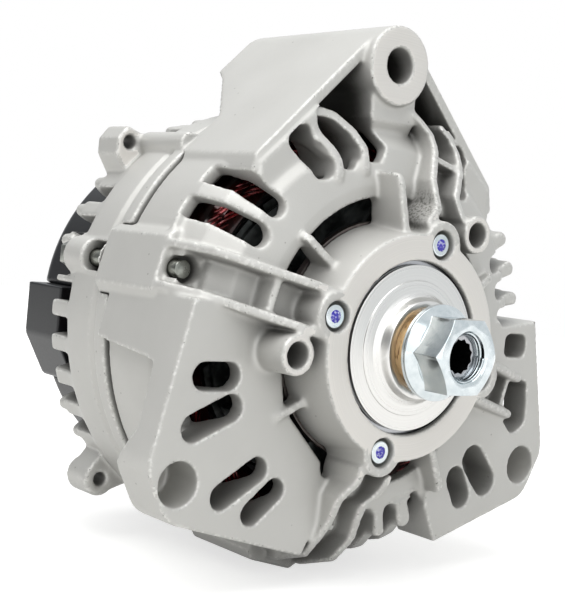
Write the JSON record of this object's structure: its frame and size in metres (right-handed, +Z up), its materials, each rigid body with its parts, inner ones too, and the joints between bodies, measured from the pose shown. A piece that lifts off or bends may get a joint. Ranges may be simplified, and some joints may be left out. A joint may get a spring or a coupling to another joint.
{
  "type": "vehicle alternator",
  "caption": "Belt-driven vehicle alternator with two slotted cast housings, a top mounting eye, claw-pole rotor, stator, rectifier, brushes and rear cover.",
  "frame": {"origin": "on the shaft axis, at the machined front face of the drive-end bearing hub", "axes": "+Y along the shaft towards the rear cover, +Z up towards the mounting eye, +X to the right seen from the drive end"},
  "size_m": [0.1806, 0.178, 0.1904],
  "materials": {
    "cast_aluminium": "bead-blasted casting, satin",
    "zinc_plated_steel": "bright zinc plate",
    "bearing_steel": "ground",
    "seal_rubber": "matt",
    "lamination_steel": "dark, lightly varnished",
    "enamelled_copper": "varnished",
    "natural_nylon": "satin",
    "fan_steel": "dark sheet steel",
    "shaft_steel": "ground",
    "bare_copper": "turned",
    "black_plastic": "satin",
    "turned_steel": "turned, bright",
    "tan_sleeve": "satin",
    "heat_sink_aluminium": "mill finish",
    "nickel_plated_copper": "satin",
    "grey_plastic": "satin",
    "carbon": "matt",
    "tinned_brass": "bright"
  },
  "bodies": {
    "stator": {"bearing_retainer": "zinc_plated_steel", "brush_holder": "black_plastic", "brush_spring_1": "shaft_steel", "brush_spring_2": "shaft_steel", "collector_end_housing": "cast_aluminium", "connector_pins": "tinned_brass", "connector_socket": "black_plastic", "cover_screws": "zinc_plated_steel", "drive_end_housing": "cast_aluminium", "eye_bush": "zinc_plated_steel", "front_bearing_outer_race": "bearing_steel", "front_bearing_seals": "seal_rubber", "negative_diodes": "nickel_plated_copper", "output_stud": "zinc_plated_steel", "output_stud_insulator": "black_plastic", "output_stud_nut": "zinc_plated_steel", "positive_diodes": "nickel_plated_copper", "rear_bearing_outer_race": "bearing_steel", "rear_bearing_seals": "seal_rubber", "rear_cover": "black_plastic", "rectifier_negative_plate": "heat_sink_aluminium", "rectifier_positive_plate": "heat_sink_aluminium", "rectifier_spacers": "black_plastic", "retainer_screws": "zinc_plated_steel", "stator_core": "lamination_steel", "stator_winding": "enamelled_copper", "suppression_capacitor": "grey_plastic", "through_bolts": "zinc_plated_steel", "voltage_regulator": "heat_sink_aluminium"},
    "rotor": {"rotor_shaft": "shaft_steel", "claw_pole_front": "lamination_steel", "claw_pole_rear": "lamination_steel", "coil_bobbin": "natural_nylon", "field_coil": "enamelled_copper", "fan_front": "fan_steel", "fan_rear": "fan_steel", "slip_rings": "bare_copper", "slip_ring_insulator": "black_plastic", "front_bearing_inner_race": "bearing_steel", "rear_bearing_inner_race": "bearing_steel", "spacer_disc": "turned_steel", "shaft_sleeve": "tan_sleeve", "pulley_nut": "zinc_plated_steel"},
    "brush_1": {"brush_1": "carbon"},
    "brush_2": {"brush_2": "carbon"}
  },
  "joints": [
    {"name": "rotor_spin", "type": "hinge", "parent": "stator", "child": "rotor", "pos_m": [0, 0, 0], "axis": [0, 1, 0], "continuous": true},
    {"name": "brush_1_slide", "type": "slide", "parent": "stator", "child": "brush_1", "axis": [0, 0, 1], "range_m": [0, 0.006], "stiffness_N_per_m": 150, "springref_m": -0.015, "deforming": ["brush_spring_1"]},
    {"name": "brush_2_slide", "type": "slide", "parent": "stator", "child": "brush_2", "axis": [0, 0, 1], "range_m": [0, 0.006], "stiffness_N_per_m": 150, "springref_m": -0.015, "deforming": ["brush_spring_2"]}
  ]
}
